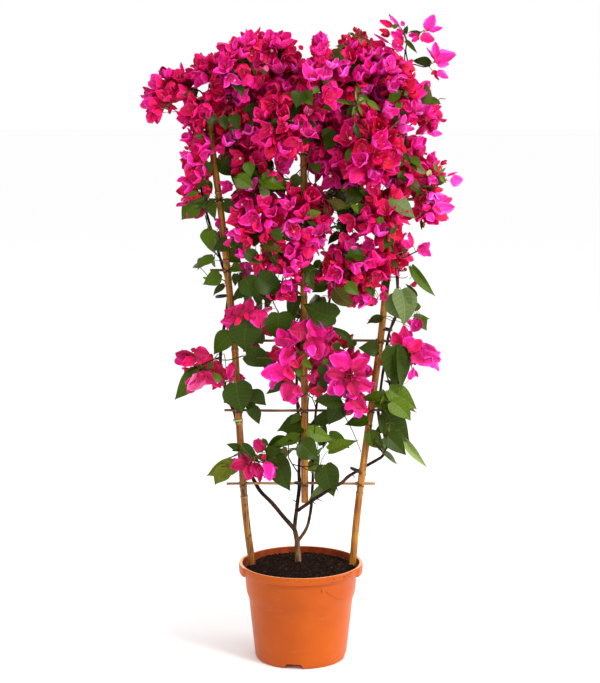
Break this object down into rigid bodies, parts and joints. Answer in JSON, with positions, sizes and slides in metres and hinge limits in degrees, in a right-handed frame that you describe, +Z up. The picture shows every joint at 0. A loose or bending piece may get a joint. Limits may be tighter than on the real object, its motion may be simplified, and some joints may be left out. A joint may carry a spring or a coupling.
{
  "type": "potted bougainvillea bush on a cane trellis",
  "caption": "Flowering climbing bush in a tapered round pot, trained up a fan of bamboo canes and thin cross slats, with a wide magenta crown over open leafy lower sprays.",
  "frame": {"origin": "middle of the flat underside of the pot", "axes": "+Z up the plant; -Y toward the viewer of its front, so the flat of the trellis lies along X; +X to that viewer's right"},
  "size_m": [0.5815, 0.3009, 1.2239],
  "materials": {
    "pot": "satin terracotta-orange moulded plastic",
    "soil": "dark moist crumbly potting compost",
    "cane": "weathered tan bamboo with nodes and dark specks",
    "slat": "split cane, matt brown",
    "stem": "dark brown bark, paler at the foot",
    "bloom": "papery magenta bracts, matt",
    "leaf": "dark green leaves, soft sheen"
  },
  "bodies": {
    "root": {"cane_left": "cane", "cane_middle": "cane", "cane_right": "cane", "slat_1": "slat", "slat_2": "slat", "slat_3": "slat", "slat_4": "slat", "slat_5": "slat", "trunk": "stem", "limb_left_low": "stem", "limb_left_up": "stem", "limb_middle": "stem", "limb_right_low": "stem", "limb_right_up": "stem", "limb_centre_right": "stem", "limb_right_tip": "stem", "limb_right_tip_side": "stem", "pot": "pot", "soil": "soil", "crown_left_tip": "bloom", "crown_left_upper": "bloom", "crown_left_top": "bloom", "crown_mid_top": "bloom", "crown_centre_top": "bloom", "crown_right_top": "bloom", "crown_right_shoulder": "bloom", "spray_tip_inner": "bloom", "spray_tip_outer": "bloom", "crown_right_tip": "bloom", "crown_left_side": "bloom", "crown_left_lower": "bloom", "crown_centre_front": "bloom", "crown_centre_lower": "bloom", "crown_right_lower": "bloom", "crown_right_side": "bloom", "crown_left_skirt": "leaf", "mid_left_blooms": "bloom", "mid_centre_blooms": "bloom", "mid_centre_right": "leaf", "mid_right_blooms": "bloom", "mid_right_edge": "bloom", "mid_low_blooms": "bloom", "mid_right_low": "bloom", "mid_right_corner": "bloom", "left_leaf_strand": "leaf", "mid_leaves_left": "leaf", "low_left_blooms": "bloom", "low_leaves_centre": "leaf", "low_centre_blooms": "bloom", "low_right_of_centre": "bloom", "left_low_blooms": "bloom", "left_low_leaves": "leaf", "right_upper_leaves": "leaf", "right_low_blooms": "bloom", "right_low_leaves": "leaf", "right_foot_leaves": "leaf", "centre_foot_leaves": "leaf", "left_foot_spray": "bloom"}
  },
  "joints": []
}
